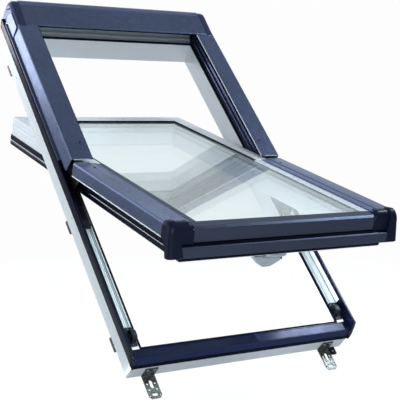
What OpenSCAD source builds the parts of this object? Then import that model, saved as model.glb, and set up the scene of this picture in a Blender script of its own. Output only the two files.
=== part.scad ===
// Centre-pivot roof window: a white PVC frame with dark aluminium covers,
// and a double-glazed sash that turns on curved-track hinges at mid-height.
//
// Local axes of the frame: x across, s up the roof slope, n out of the roof.
// Local axes of the sash: x across, t from the pivot towards the top, m outwards.

/* [Frame] */
// Width of the white frame
frame_w = 780; // [660:1:1140]
// Length of the white frame up the slope
frame_l = 1400; // [1180:1:1600]
// Height of the white frame above its room-side face
frame_h = 78; // [70:1:90]
// Width of the side members of the frame
jamb_w = 33; // [28:1:45]
// Width of the top and bottom members of the frame
rail_w = 46.5; // [40:0.5:60]
// How far the top member's inner face slopes down the roof towards the room
reveal_slope = 16.5; // [0:0.5:20]
// Pitch of the roof that the window stands in
pitch = 46.3; // [20:0.1:70]

/* [Covers] */
// Height of the outer covers above the room-side face
cover_top = 177; // [170:1:185]
// Half the width over the outer covers
cover_half = 397; // [394:1:400]
// Half the width between the inner edges of the covers
cover_in = 324; // [315:1:335]
// Thickness of the cover sheet
sheet = 2; // [1.5:0.1:2.5]
// Lower end of the frame's side covers, up the slope
cover_end_s = 682; // [680:1:690]

/* [Pivot] */
// Distance of the turning axis up the slope
pivot_s = 672.4; // [665:0.1:690]
// Height of the turning axis above the room-side face
pivot_n = 186; // [184:1:190]
// How far the sash stands open
open_deg = 32.7; // [0:0.1:60]

/* [Sash] */
// Half the width of the sash
sash_half = 348; // [345:1:350]
// Distance from the axis to the sash's top end
sash_top = 640; // [630:1:645]
// Distance from the axis to the sash's bottom end
sash_bot = 600; // [590:1:602]
// Depth from the axis to the sash's room-side face
sash_face = 120; // [110:1:122]
// Half the width of the glass that shows
sight_half = 295; // [280:1:300]

/* [Hidden] */
$fn = 48;

frame_half = frame_w / 2;
open_half = frame_half - jamb_w;
top_in = frame_l - rail_w;
origin_s = rail_w / 2;
ledge_n = frame_h + 2;
lip_half = 399;
hinge_r = [30, 34, 34.5, 43.7, 44.2, 48];
hinge_cut = 13;
glass_out = -22;
pane_t = 4;
gap_t = 16;
glass_in = glass_out - 2 * pane_t - gap_t;
glass_half = 310;
glass_top = 585;
glass_bot = 590;
stile_in = 288;
rebate = 312;
sight_top = 580;
hood_s = 1305;
hood_back = 1434;
lock_t = -587;
lock_m = -97;

dark = "#34394c";
black = "#15161b";
white = "#eef0f4";
silver = "#b9c0c4";

// ---------- placing ----------

// Stands the local frame axes on the roof slope, with the origin under the bottom rail
module on_roof() {
  rotate([pitch, 0, 0]) translate([0, -origin_s, 0]) children();
}

// Hangs the local sash axes on the turning axis, with the sash standing open
module on_sash() {
  on_roof() translate([0, pivot_s, pivot_n]) rotate([-open_deg, 0, 0]) children();
}

// Keeps the right side as drawn, and mirrors it for the left
module hand(side) {
  if (side < 0) mirror([1, 0, 0]) children();
  else children();
}

// Draws an (x, n) section along the slope from a to b
module along(a, b) {
  translate([0, b, 0]) rotate([90, 0, 0]) linear_extrude(b - a) children();
}

// Draws an (s, n) section across the window from a to b
module across(a, b) {
  translate([a, 0, 0]) rotate([90, 0, 90]) linear_extrude(b - a) children();
}

// A round bar or hole along x from a to b, centred at (s, n)
module x_rod(a, b, s, n, r) {
  translate([a, s, n]) rotate([0, 90, 0]) cylinder(h = b - a, r = r);
}

// Points of an arc about (cx, cy)
function arc(cx, cy, r, a0, a1, steps = 6) =
  [for (i = [0:steps]) let (a = a0 + (a1 - a0) * i / steps) [cx + r * cos(a), cy + r * sin(a)]];

// ---------- frame ----------

// Outline of the lower and upper members, cut at the mitres
module rail_plan(at_top) {
  y0 = at_top ? frame_l : 0;
  y1 = at_top ? top_in : rail_w;
  polygon([[-frame_half, y0], [frame_half, y0], [open_half, y1], [-open_half, y1]]);
}

// Slope at the lower end of the frame, under the bottom cladding
module front_slope() {
  polygon([[-1, 54], [15.5, frame_h + 0.01], [-1, frame_h + 1]]);
}

module frame_bottom_rail() {
  color(white) on_roof() difference() {
    linear_extrude(frame_h) rail_plan(false);
    across(-frame_half - 1, frame_half + 1) front_slope();
  }
}

module frame_top_rail() {
  color(white) on_roof() {
    linear_extrude(frame_h) rail_plan(true);
    across(0.1 - open_half, open_half - 0.1)
      polygon([[top_in, 0], [top_in, 76], [top_in - reveal_slope, 0]]);
  }
}

// Drill points in the outer side of a jamb, for the roof brackets
hole_s = [83, 109, 200, 207, 562, 832, 1198, 1308];
hole_n = [14, 22, 17, 29, 35, 36, 24, 28];

module frame_jamb(side) {
  color(white) on_roof() hand(side) difference() {
    linear_extrude(frame_h)
      polygon([[frame_half, 0], [frame_half, frame_l], [open_half, top_in], [open_half, rail_w]]);
    across(open_half - 1, frame_half + 1) front_slope();
    for (i = [0:len(hole_s) - 1]) x_rod(frame_half - 14, frame_half + 1, hole_s[i], hole_n[i], 2.6);
  }
}

// A flat rectangular ring round the opening: half width, lower and upper end, strip width
module ring_plan(half, a, b, w) {
  difference() {
    translate([-half, a]) square([2 * half, b - a]);
    translate([-half + w, a + w]) square([2 * half - 2 * w, b - a - 2 * w]);
  }
}

module frame_gasket() {
  color(black) on_roof() translate([0, 0, frame_h])
    linear_extrude(6) ring_plan(open_half + 2, rail_w - 2, top_in + 2, 4);
}

// Section of the side cladding, a hollow box with a raised outer wall
module cladding_outline() {
  polygon([[390, 54], [394, 54], [404, 70], [409, 105], [406, 108], [401, 108],
    [lip_half, 106], [lip_half, frame_h], [390, frame_h]]);
}

module cladding_hollow() {
  polygon([[392, 58], [393.2, 58], [402, 71.5], [406.8, 104.4], [405, 105.8], [402, 105.8],
    [401.2, 105], [401.2, 76], [392, 76]]);
}

// Takes off the lower end of the side cladding, parallel to its sloped front
module cladding_end_cut(shift = 0) {
  across(385, 415) polygon([[-60, 40], [-11.9 + shift, 40], [28.1 + shift, 118], [-60, 118]]);
}

module side_cladding(side) {
  color(dark) on_roof() hand(side) difference() {
    along(-20, frame_l + 5) difference() {
      cladding_outline();
      cladding_hollow();
    }
    cladding_end_cut(3);
  }
}

// Plastic plugs that close both ends of the side cladding
module cladding_plugs(side) {
  color(black) on_roof() hand(side) {
    difference() {
      along(-20, 40) cladding_outline();
      cladding_end_cut(0);
      difference() {
        along(-21, 41) translate([380, 40]) square([40, 80]);
        cladding_end_cut(3);
      }
    }
    along(frame_l + 5, frame_l + 9) cladding_outline();
  }
}

module bottom_cladding() {
  color(dark) on_roof() across(-389.7, 389.7)
    polygon([[0, 52.5], [-4, 52.5], [14.5, 80], [44, 80], [44, frame_h], [15.2, frame_h], [0, 55.9]]);
}

// Stepped aluminium ledge on the top member, under the hood
module top_ledge() {
  color(silver) on_roof() across(-open_half, open_half)
    polygon([[1355.6, frame_h], [1355.6, 85], [1366, 85], [1366, 93], [1379, 93],
      [1379, 104], [1398, 104], [1398, frame_h]]);
}

rail_end_s = 488;
keep_end_s = 118;

// Silver rail on the ledge of each side member, with two ridges and a low outer leg
module ledge_rail(side) {
  color(silver) on_roof() hand(side) along(keep_end_s + 0.5, rail_end_s) {
    difference() {
      translate([359.3, frame_h]) square([lip_half - 359.3 - 0.3, 2]);
      translate([368, frame_h + 1]) square([6, 2]);
    }
    for (x = [364, 376.5]) translate([x, frame_h + 1.9]) square([1.6, 2.6]);
    translate([lip_half - 2.3, frame_h + 1.9]) square([2, 16]);
  }
}

// Plastic end of the rail, below the hinge
module rail_end(side) {
  color(black) on_roof() hand(side) difference() {
    union() {
      along(rail_end_s + 0.5, 596) translate([360, frame_h]) square([36, 9]);
      along(500, 560) translate([368, frame_h + 9]) square([20, 6]);
    }
    x_rod(359, 400, 512, frame_h + 12, 1.8);
  }
}

// Keep that takes the lock bolt from the sash
module lock_keep(side) {
  color(black) on_roof() hand(side) difference() {
    union() {
      along(54, keep_end_s) translate([362, frame_h]) square([26, 4]);
      along(66, 104) translate([362, frame_h + 4]) square([26, 20]);
    }
    x_rod(361, 389, pivot_s + lock_t, pivot_n + lock_m, 6.5);
    for (s = [59.5, 111]) translate([375, s, frame_h - 1]) cylinder(h = 6, r = 2.2);
  }
}

// ---------- hinges ----------

// Ring between two radii about the turning axis, cut off under the covers
module hinge_ring(a, b, r0, r1) {
  difference() {
    x_rod(a, b, 0, 0, r1);
    x_rod(a - 1, b + 1, 0, 0, r0);
    translate([a - 1, -r1 - 1, -hinge_cut]) cube([b - a + 2, 2 * r1 + 2, r1 + hinge_cut + 1]);
  }
}

// Frame half: a plate with two curved guides
module hinge_track(side) {
  color("#8d9296") on_roof() hand(side) translate([0, pivot_s, pivot_n]) {
    hinge_ring(366, 380.2, hinge_r[0], hinge_r[1]);
    hinge_ring(366, 380.2, hinge_r[4], hinge_r[5]);
    difference() {
      translate([380, -50, frame_h - pivot_n]) cube([4, 100, pivot_n - frame_h - hinge_cut]);
      for (y = [-36, 36]) x_rod(379, 385, y, -78, 2.6);
    }
    translate([362, -50, frame_h - pivot_n]) cube([18.2, 100, 3]);
  }
}

// Sash half: a plate with a curved tongue that runs between the guides
module hinge_tongue(side) {
  color("#6f757b") on_sash() hand(side) {
    hinge_ring(352.8, 378.5, hinge_r[2], hinge_r[3]);
    difference() {
      translate([sash_half, -46, -100]) cube([5, 92, 100 - hinge_cut - 2]);
      for (y = [-34, 34], z = [-90, -64]) x_rod(sash_half - 1, sash_half + 6, y, z, 2.4);
    }
  }
}

// ---------- frame covers ----------

// Stepped strip that stands on the ledge and carries a side cover over the cladding wall
module cover_carrier(side) {
  low = [[377, 112], [370, 112], [370, 98], [364, 98], [364, 86], [360.5, 86],
    [360.5, frame_h], [398, frame_h], [398, 108.5], [406, 108.5], [406, 113], [396, 119]];
  color(black) on_roof() hand(side) {
    along(735, hood_s - 2)
      polygon(concat(low, [[394.5, 150], [384, 150], [384, 128], [377, 128]]));
    along(hood_s - 2, 1374) polygon(low);
  }
}

// Section of a side cover: top sheet, rounded shoulder, outer band and inner lip
module side_cover_section(top, band, lip) {
  r = 6;
  polygon(concat(
    [[cover_in, top - lip], [cover_in, top - 0.5], [cover_in + 0.5, top]],
    arc(cover_half - r, top - r, r, 90, 0),
    [[lip_half, top - band], [lip_half - sheet, top - band]],
    arc(cover_half - r, top - r, r - sheet, 0, 90),
    [[cover_in + sheet, top - sheet], [cover_in + sheet, top - lip]]
  ));
}

module side_cover(side) {
  color(dark) on_roof() hand(side) difference() {
    along(cover_end_s, hood_s - 1) side_cover_section(cover_top, 56, 3.5);
    translate([345, 752, cover_top - 4]) cylinder(h = 5, r = 2.4);
  }
}

// Outline of the hood over the top of the window, from its front lip to its back edge
function hood_line(d) = concat(
  [[hood_s + d, 173], [hood_s + d, 174.6], [hood_s + 2.6, cover_top + 0.5 - d]],
  arc(1400, 150.5, 34 - d, 90, 0, 8),
  arc(1424, 113, 10 - d, 0, -90),
  [[1406, d > 0 ? 103 : 101]]
);

module hood_cover() {
  front = hood_line(0);
  back = hood_line(sheet);
  color(dark) on_roof() across(-366.8, 366.8) {
    polygon(concat(front, [for (i = [len(back) - 1:-1:0]) back[i]]));
    translate([1318, 155]) square([2, 22]);
  }
}

// End cap of the hood: a shell with a closed outer side
module hood_cap(side) {
  foot = [[1392, 106], [1376, 121], [hood_s, 121]];
  color(dark) on_roof() hand(side) difference() {
    across(367, lip_half) polygon(concat(hood_line(0), foot));
    across(366, lip_half - 3) polygon(concat(hood_line(2.2), [[1392, 98], [hood_s + 2.2, 98]]));
    across(366, lip_half - 3) translate([hood_s - 1, 100]) square([6, 72]);
  }
}

// Flat head of a cover screw, with its shank
module cover_screw(x, y, z) {
  translate([x, y, z]) {
    cylinder(h = 1.2, r = 4);
    translate([0, 0, -5]) cylinder(h = 5.3, r = 2);
  }
}

module frame_cover_screws() {
  color(black) on_roof() for (x = [-345, 345]) cover_screw(x, 752, cover_top);
}

// ---------- roof brackets and clips ----------

bracket_x = 321;
bracket_w = 43;

// Perforated steel angle: a flange on the frame's bottom face and a leg down the slope
module roof_bracket(side) {
  color("#9aa09c") on_roof() hand(side) difference() {
    union() {
      translate([bracket_x - bracket_w / 2, -2.5, 0]) cube([bracket_w, 2.5, 42]);
      translate([bracket_x - bracket_w / 2, -77, 0]) cube([bracket_w, 77, 2.5]);
    }
    translate([bracket_x - 5, -44, -1]) cube([10, 26, 5]);
    for (x = [-12.5, 12.5], y = [-29, -48]) translate([bracket_x + x, y, -1]) cylinder(h = 5, r = 3);
    translate([bracket_x - 9, -69, -1]) cube([18, 9, 5]);
    for (x = [-16.5, 16.5]) translate([bracket_x + x, -68, -1]) cylinder(h = 5, r = 2.4);
    for (x = [-12, 12], z = [14, 32])
      translate([bracket_x + x, 1, z]) rotate([90, 0, 0]) cylinder(h = 5, r = 2.4);
    for (x = [-1, 1])
      translate([bracket_x + x * bracket_w / 2, -77, -1]) rotate([0, 0, 45]) cube([12, 12, 9], center = true);
  }
}

module bracket_screws() {
  color(silver) on_roof() for (side = [-1, 1], x = [-12, 12]) translate([side * bracket_x + x, -2.5, 32]) {
    rotate([90, 0, 0]) cylinder(h = 3, r = 4.4);
    rotate([-90, 0, 0]) cylinder(h = 2.4, r = 2.3);
  }
}

module bracket_tab() {
  color(black) on_roof() difference() {
    translate([bracket_x + bracket_w / 2 + 0.3, -27, 0]) cube([23, 26.7, 5]);
    translate([bracket_x + bracket_w / 2 + 13, -14, -1]) cylinder(h = 7, r = 3);
  }
}

// Folded steel clips under the room-side edge, for the inner lining
clip_s = [93, 531, 1239];

module lining_clips() {
  color(silver) on_roof() for (side = [-1, 1], s = clip_s) hand(side) {
    translate([frame_half - 22, s, -1.2]) cube([24, 48, 1.2]);
    translate([frame_half + 0.8, s, -9]) cube([1.2, 48, 9]);
    translate([frame_half - 1.8, s + 3, -9]) cube([3.4, 5, 4]);
  }
}

// ---------- sash ----------

// Section of a sash member, from its inner face at a to its outer face at b
module sash_section(a, b, step, top = glass_out) {
  polygon([[b, top], [b, -sash_face], [a + 8, -sash_face], [a, -sash_face + 8],
    [a, glass_in - 2], [a + step, glass_in - 2], [a + step, top]]);
}

sash_step = rebate - stile_in;
rail_in_top = sight_top - 7;
rail_in_bot = 568;

// Wedge that mitres a sash member: keeps what lies between the two corner lines
module stile_wedge() {
  translate([0, 0, -sash_face - 1]) linear_extrude(sash_face) polygon([
    [sash_half, sash_top], [stile_in, rail_in_top], [stile_in, -rail_in_bot], [sash_half, -sash_bot]]);
}

// Channel for the lock rods, along the lower edge of the sash
module lock_channel() {
  translate([-sash_half - 1, lock_t - 7, lock_m - 6]) cube([2 * sash_half + 2, 14, 12]);
}

module sash_stile(side) {
  color(white) on_sash() hand(side) difference() {
    intersection() {
      along(-sash_bot, sash_top) sash_section(stile_in, sash_half, sash_step);
      stile_wedge();
    }
    lock_channel();
  }
}

module sash_top_rail() {
  color(white) on_sash() intersection() {
    across(-sash_half, sash_half) sash_section(rail_in_top, sash_top, 14);
    translate([0, 0, -sash_face - 1]) linear_extrude(sash_face)
      polygon([[-sash_half, sash_top], [sash_half, sash_top], [stile_in, rail_in_top], [-stile_in, rail_in_top]]);
  }
}

module sash_bottom_rail() {
  color(white) on_sash() difference() {
    intersection() {
      across(-sash_half, sash_half) mirror([1, 0]) sash_section(rail_in_bot, sash_bot, 24, -28);
      translate([0, 0, -sash_face - 1]) linear_extrude(sash_face)
        polygon([[-sash_half, -sash_bot], [sash_half, -sash_bot],
          [stile_in, -rail_in_bot], [-stile_in, -rail_in_bot]]);
    }
    lock_channel();
    // pocket of the gearbox
    translate([-32, lock_t - 10, -sash_face - 1]) cube([64, 20, 36]);
  }
}

module pane_plan(half, a, b) {
  translate([-half, a]) square([2 * half, b - a]);
}

module outer_pane() {
  color("#bfe0e2", 0.5) on_sash() translate([0, 0, glass_out - pane_t])
    linear_extrude(pane_t) pane_plan(glass_half, -glass_bot, glass_top);
}

module inner_pane() {
  color("#bfe0e2", 0.5) on_sash() translate([0, 0, glass_in])
    linear_extrude(pane_t) pane_plan(glass_half, -glass_bot, glass_top);
}

module pane_spacer() {
  color(silver) on_sash() translate([0, 0, glass_in + pane_t])
    linear_extrude(gap_t) ring_plan(glass_half - 4, -glass_bot + 4, glass_top - 4, 9);
}

module glazing_seal() {
  color(black) on_sash() translate([0, 0, glass_out])
    linear_extrude(2) ring_plan(glass_half - 11, -glass_bot + 11, glass_top - 1, 5.5);
}

cap_m = -15;

// White caps over the upper half of the sash, which the frame's covers close on
module upper_cap_side(side) {
  color(white) on_sash() hand(side) difference() {
    translate([0, 0, glass_out]) linear_extrude(cap_m - glass_out)
      polygon([[sight_half, 6], [sash_half, 6], [sash_half, sash_top], [sight_half, sight_top]]);
    translate([sight_half - 1, 0, glass_out - 1]) cube([305 - sight_half + 1, sash_top, 3.2]);
  }
}

module upper_cap_top() {
  color(white) on_sash() difference() {
    translate([0, 0, glass_out]) linear_extrude(cap_m - glass_out)
      polygon([[-sash_half, sash_top], [sash_half, sash_top], [sight_half, sight_top], [-sight_half, sight_top]]);
    translate([-305, sight_top - 1, glass_out - 1]) cube([610, 6, 3.2]);
  }
}

// Light bead along the glass on the lower half, beside the covers
module glazing_bead(side) {
  color("#d5dce4") on_sash() hand(side) along(-572, 5.5) polygon([
    [sight_half - 7, glass_out + 2.2], [sight_half - 7, -18.6], [sight_half - 4, -17], [316, -17],
    [316, glass_out + 0.2], [305, glass_out + 0.2], [305, glass_out + 2.2]]);
}

// Rubber seal round the sash edge between two depths
module sash_seal(m0, m1, out) {
  translate([0, 0, m0]) linear_extrude(m1 - m0) difference() {
    translate([-sash_half - out, -sash_bot - 1.5]) square([2 * (sash_half + out), sash_top + sash_bot + 1.5 + out]);
    translate([-sash_half, -sash_bot]) square([2 * sash_half, sash_top + sash_bot]);
  }
}

module sash_outer_seal() {
  color(black) on_sash() difference() {
    sash_seal(-100, -81, 3);
    // gaps at the hinge plates and at the lock bolts
    for (x = [-sash_half - 4, sash_half - 1]) {
      translate([x, -47, -101]) cube([5, 94, 30]);
      translate([x, lock_t - 7, -104]) cube([5, 14, 30]);
    }
  }
}

module sash_inner_seal() {
  color(black) on_sash() sash_seal(-118, -103, 3);
}

sash_cover_end = -584;
sash_screw_t = [-60, -540];

// Section of a sash side cover, which meets the frame's side cover when closed
module sash_cover_section() {
  r = 6;
  m_top = cover_top - pivot_n;
  polygon(concat(
    [[cover_in - 6, -17], [cover_in - 6, m_top - 3.4], [cover_in - 5, m_top - 3]],
    [[340, m_top - 3], [343, m_top]],
    arc(cover_half - r, m_top - r, r, 90, 0),
    [[cover_half, -53], [cover_half - sheet, -53]],
    arc(cover_half - r, m_top - r, r - sheet, 0, 90),
    [[344, m_top - sheet], [341, m_top - 3 - sheet], [cover_in - 4, m_top - 3 - sheet], [cover_in - 4, -17]]
  ));
}

module sash_cover(side) {
  color(dark) on_sash() hand(side) difference() {
    along(sash_cover_end, -1.1) sash_cover_section();
    for (t = sash_screw_t) translate([352, t, -14]) cylinder(h = 8, r = 2.4);
  }
}

module sash_cover_screws() {
  color(black) on_sash() for (x = [-352, 352], t = sash_screw_t) cover_screw(x, t, -9);
}

// Upper step of the bottom cover: a strip on the glass, an edge and a front
module bottom_cover_upper() {
  color(dark) on_sash() across(-313.6, 313.6) polygon([
    [-573, -15.5], [-597, -21.5], [-603, -27], [-606, -64], [-600.2, -64],
    [-600.2, -62], [-603.8, -62], [-601, -28.2], [-596, -23.4], [-573, -17.5]]);
}

// Lower step of the bottom cover, set further out
module bottom_cover_lower() {
  color(dark) on_sash() across(-351.6, 351.6) polygon([
    [-600.2, -70], [-621, -70], [-624, -73], [-627, -100], [-612, -100],
    [-612, -98], [-624.8, -98], [-622.1, -74], [-620.2, -72], [-600.2, -72]]);
}

// Outline of the tall outer half of a corner cap, drawn inwards by d
function cap_line(d) = concat(
  [[-572, -9 - d]],
  arc(-594, -32, 30 - d, 80, 170, 8),
  [[-628 + d, -101]]
);

// Outline of the short inner half of a corner cap
function cap_step_line(d) = concat(
  [[-574, -12 - d]],
  arc(-588, -29, 20 - d, 85, 175, 6),
  [[-608.5 + d, -68]]
);

module corner_cap(side) {
  color("#2b3042") on_sash() hand(side) difference() {
    union() {
      difference() {
        across(352, cover_half + 2) polygon(concat(cap_line(0), [[-572, -101]]));
        across(354.5, cover_half) polygon(concat(cap_line(2.5), [[-571, -102], [-571, -12]]));
        across(351, 355) translate([-600, -110]) square([30, 95]);
      }
      difference() {
        across(314, 352.2) polygon(concat(cap_step_line(0), [[-574, -68]]));
        across(313, 353) polygon(concat(cap_step_line(2), [[-573, -69], [-573, -14]]));
      }
    }
    // room for the end of the side cover
    translate([300, sash_cover_end - 0.4, -54]) cube([cover_half - 299.7, 30, 46]);
  }
}

// ---------- lock and handle ----------

// Rod and round bolt that slide out of the sash's lower corner
module lock_bolt(side) {
  color(silver) on_sash() hand(side) {
    translate([9, lock_t - 5, lock_m - 1.5]) cube([337, 10, 3]);
    x_rod(340, 353, lock_t, lock_m, 5);
  }
}

module lock_gearbox() {
  color("#7c8288") on_sash() difference() {
    translate([-31.5, lock_t - 9.5, -sash_face]) cube([63, 19, 34]);
    translate([0, lock_t, -sash_face - 1]) cylinder(h = 30, r = 5.2);
    for (x = [-33, 8]) translate([x, lock_t - 6, lock_m - 5]) cube([25, 12, 10]);
  }
}

// Lever handle: base plate, hollow grip and the spindle that enters the gearbox
module handle() {
  color(silver) on_sash() {
    translate([0, lock_t, -sash_face - 9]) cylinder(h = 8.6, r = 17);
    translate([-46, lock_t, -sash_face - 9]) cylinder(h = 8.6, r = 17);
    translate([-46, lock_t - 17, -sash_face - 9]) cube([46, 34, 8.6]);
    translate([-3.5, lock_t - 3.5, -sash_face - 1]) cube([7, 7, 24]);
    difference() {
      along(lock_t - 15, lock_t + 15)
        polygon([[8, -128], [-20, -146], [-44, -158], [-70, -158], [-106, -122], [-66, -122], [-63, -128]]);
      along(lock_t - 4, lock_t + 16)
        polygon([[-10, -132], [-24, -141], [-46, -152], [-68, -152], [-88, -132]]);
    }
  }
}

frame_bottom_rail();
frame_top_rail();
frame_jamb(-1);  // frame_left_jamb
frame_jamb(1);  // frame_right_jamb
frame_gasket();
side_cladding(-1);  // side_cladding_left
side_cladding(1);  // side_cladding_right
cladding_plugs(-1);  // cladding_plugs_left
cladding_plugs(1);  // cladding_plugs_right
bottom_cladding();
top_ledge();
ledge_rail(-1);  // ledge_rail_left
ledge_rail(1);  // ledge_rail_right
rail_end(-1);  // rail_end_left
rail_end(1);  // rail_end_right
lock_keep(-1);  // lock_keep_left
lock_keep(1);  // lock_keep_right
hinge_track(-1);  // hinge_track_left
hinge_track(1);  // hinge_track_right
cover_carrier(-1);  // cover_carrier_left
cover_carrier(1);  // cover_carrier_right
side_cover(-1);  // side_cover_left
side_cover(1);  // side_cover_right
hood_cover();
hood_cap(-1);  // hood_cap_left
hood_cap(1);  // hood_cap_right
frame_cover_screws();
roof_bracket(-1);  // roof_bracket_left
roof_bracket(1);  // roof_bracket_right
bracket_screws();
bracket_tab();
lining_clips();
sash_bottom_rail();
sash_top_rail();
sash_stile(-1);  // sash_left_stile
sash_stile(1);  // sash_right_stile
outer_pane();
pane_spacer();
inner_pane();
glazing_seal();
upper_cap_side(-1);  // upper_cap_left
upper_cap_side(1);  // upper_cap_right
upper_cap_top();
glazing_bead(-1);  // glazing_bead_left
glazing_bead(1);  // glazing_bead_right
sash_outer_seal();
sash_inner_seal();
sash_cover(-1);  // sash_cover_left
sash_cover(1);  // sash_cover_right
sash_cover_screws();
bottom_cover_upper();
bottom_cover_lower();
corner_cap(-1);  // corner_cap_left
corner_cap(1);  // corner_cap_right
hinge_tongue(-1);  // hinge_tongue_left
hinge_tongue(1);  // hinge_tongue_right
lock_bolt(-1);  // lock_bolt_left
lock_bolt(1);  // lock_bolt_right
lock_gearbox();
handle();
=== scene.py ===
import math

import bmesh
import bpy
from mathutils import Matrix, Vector


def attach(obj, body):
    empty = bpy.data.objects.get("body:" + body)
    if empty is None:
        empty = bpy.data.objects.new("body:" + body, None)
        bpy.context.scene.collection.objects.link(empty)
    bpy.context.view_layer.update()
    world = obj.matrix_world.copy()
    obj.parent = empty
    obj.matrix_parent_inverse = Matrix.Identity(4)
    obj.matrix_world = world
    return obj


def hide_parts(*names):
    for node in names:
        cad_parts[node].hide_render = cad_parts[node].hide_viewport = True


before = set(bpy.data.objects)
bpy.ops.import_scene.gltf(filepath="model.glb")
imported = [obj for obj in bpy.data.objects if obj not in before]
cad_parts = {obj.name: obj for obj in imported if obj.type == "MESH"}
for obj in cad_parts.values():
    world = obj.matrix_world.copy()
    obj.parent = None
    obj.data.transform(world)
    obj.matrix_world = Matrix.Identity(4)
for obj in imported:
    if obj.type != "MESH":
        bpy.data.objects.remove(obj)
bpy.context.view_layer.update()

# ---- placing
# Local frame axes, in mm: x across, s up the roof slope, n out of the roof.
# Local sash axes, in mm: x across, t from the turning axis to the top, m outwards.

PITCH = math.radians(46.3)
OPEN = math.radians(32.7)
ORIGIN_S = 23.25
PIVOT_S, PIVOT_N = 672.4, 186.0
MM = 0.001


def roof(x, s, n):
    """Point of the frame's local axes, in metres in the row frame."""
    s -= ORIGIN_S
    y = s * math.cos(PITCH) - n * math.sin(PITCH)
    z = s * math.sin(PITCH) + n * math.cos(PITCH)
    return Vector((x * MM, y * MM, z * MM))


def leaf(x, t, m):
    """Point of the open sash's local axes, in metres in the row frame."""
    s = PIVOT_S + t * math.cos(OPEN) + m * math.sin(OPEN)
    n = PIVOT_N - t * math.sin(OPEN) + m * math.cos(OPEN)
    return roof(x, s, n)


def along(point, side=1):
    """(x, height) sections run up the slope or along the sash."""
    return lambda u, v, w: point(side * u, w, v)


def across(point, side=1):
    """(up, height) sections run from side to side."""
    return lambda u, v, w: point(side * w, u, v)


# ---- outlines

def rounded(points, closed=True):
    """Outline through points, each (u, v) or (u, v, corner radius)."""
    out = []
    count = len(points)
    for i, p in enumerate(points):
        here = Vector(p[:2])
        r = p[2] if len(p) > 2 else 0
        if r == 0 or (not closed and i in (0, count - 1)):
            out.append((here.x, here.y))
            continue
        before = Vector(points[i - 1][:2]) - here
        after = Vector(points[(i + 1) % count][:2]) - here
        la, lb = before.length, after.length
        before.normalize()
        after.normalize()
        turn = before.angle(after)
        if turn > math.radians(178):
            out.append((here.x, here.y))
            continue
        cut = min(r / math.tan(turn / 2), 0.49 * la, 0.49 * lb)
        rr = cut * math.tan(turn / 2)
        centre = here + (before + after).normalized() * (rr / math.sin(turn / 2))
        a0 = here + before * cut - centre
        a1 = here + after * cut - centre
        sweep = a0.angle_signed(a1)
        steps = max(2, min(10, int(math.ceil(abs(sweep) / math.radians(18 if rr > 3 else 30)))))
        for k in range(steps + 1):
            a = -sweep * k / steps
            c, s = math.cos(a), math.sin(a)
            out.append((centre.x + a0.x * c - a0.y * s, centre.y + a0.x * s + a0.y * c))
    clean = []
    for p in out:
        if not clean or math.dist(p, clean[-1]) > 1e-3:
            clean.append(p)
    if closed and math.dist(clean[0], clean[-1]) < 1e-3:
        clean.pop()
    return clean


def area(outline):
    return 0.5 * sum(a[0] * b[1] - b[0] * a[1] for a, b in zip(outline, outline[1:] + outline[:1]))


def inset(outline, d):
    """Closed outline moved inwards by d."""
    if d == 0:
        return list(outline)
    sign = 1 if area(outline) > 0 else -1
    count = len(outline)
    out = []
    for i, p in enumerate(outline):
        a = Vector(p) - Vector(outline[i - 1])
        b = Vector(outline[(i + 1) % count]) - Vector(p)
        na = Vector((-a.y, a.x)).normalized()
        nb = Vector((-b.y, b.x)).normalized()
        mid = na + nb
        scale = d * sign / max(0.35, 1 + na.dot(nb))
        out.append((p[0] + mid.x * scale, p[1] + mid.y * scale))
    return out


def circle(cu, cv, r, steps=20):
    return [(cu + r * math.cos(2 * math.pi * k / steps), cv + r * math.sin(2 * math.pi * k / steps))
            for k in range(steps)]


def slot_hole(cu, cv, length, width, steps=8):
    """Round-ended slot, long along u."""
    r = width / 2
    half = length / 2 - r
    right = [(cu + half + r * math.cos(a), cv + r * math.sin(a))
             for a in [math.pi * (k / steps - 0.5) for k in range(steps + 1)]]
    left = [(cu - half + r * math.cos(a), cv + r * math.sin(a))
            for a in [math.pi * (k / steps + 0.5) for k in range(steps + 1)]]
    return right + left


# ---- meshes

SMOOTH = math.radians(38)


def mesh_object(name, verts, faces, weld=1e-6):
    mesh = bpy.data.meshes.new(name)
    mesh.from_pydata([tuple(v) for v in verts], [], faces)
    bm = bmesh.new()
    bm.from_mesh(mesh)
    bmesh.ops.remove_doubles(bm, verts=bm.verts, dist=weld)
    bmesh.ops.recalc_face_normals(bm, faces=bm.faces)
    bm.to_mesh(mesh)
    bm.free()
    obj = bpy.data.objects.new(name, mesh)
    bpy.context.scene.collection.objects.link(obj)
    return obj


def shade(obj, angle=SMOOTH):
    mesh = obj.data
    mesh.polygons.foreach_set("use_smooth", [True] * len(mesh.polygons))
    mesh.set_sharp_from_angle(angle=angle)
    mod = obj.modifiers.new("Normals", "WEIGHTED_NORMAL")
    mod.keep_sharp = True
    mod.weight = 80
    mesh.update()
    return obj


def rings_mesh(name, rings, caps=True, loop=False):
    """Skin over rings of points that all have the same count."""
    count = len(rings[0])
    verts = [v for ring in rings for v in ring]
    faces = []
    spans = len(rings) if loop else len(rings) - 1
    for j in range(spans):
        a, b = j * count, ((j + 1) % len(rings)) * count
        for i in range(count):
            k = (i + 1) % count
            faces.append((a + i, a + k, b + k, b + i))
    if caps and not loop:
        faces.append(tuple(range(count))[::-1])
        last = (len(rings) - 1) * count
        faces.append(tuple(range(last, last + count)))
    return mesh_object(name, verts, faces)


def quarter(r, steps=4):
    """(inset, advance) pairs of a rounded end of radius r, from the cap outwards."""
    return [(r * (1 - math.sin(a)), r * (1 - math.cos(a)))
            for a in [math.pi / 2 * k / steps for k in range(steps + 1)]]


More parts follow.
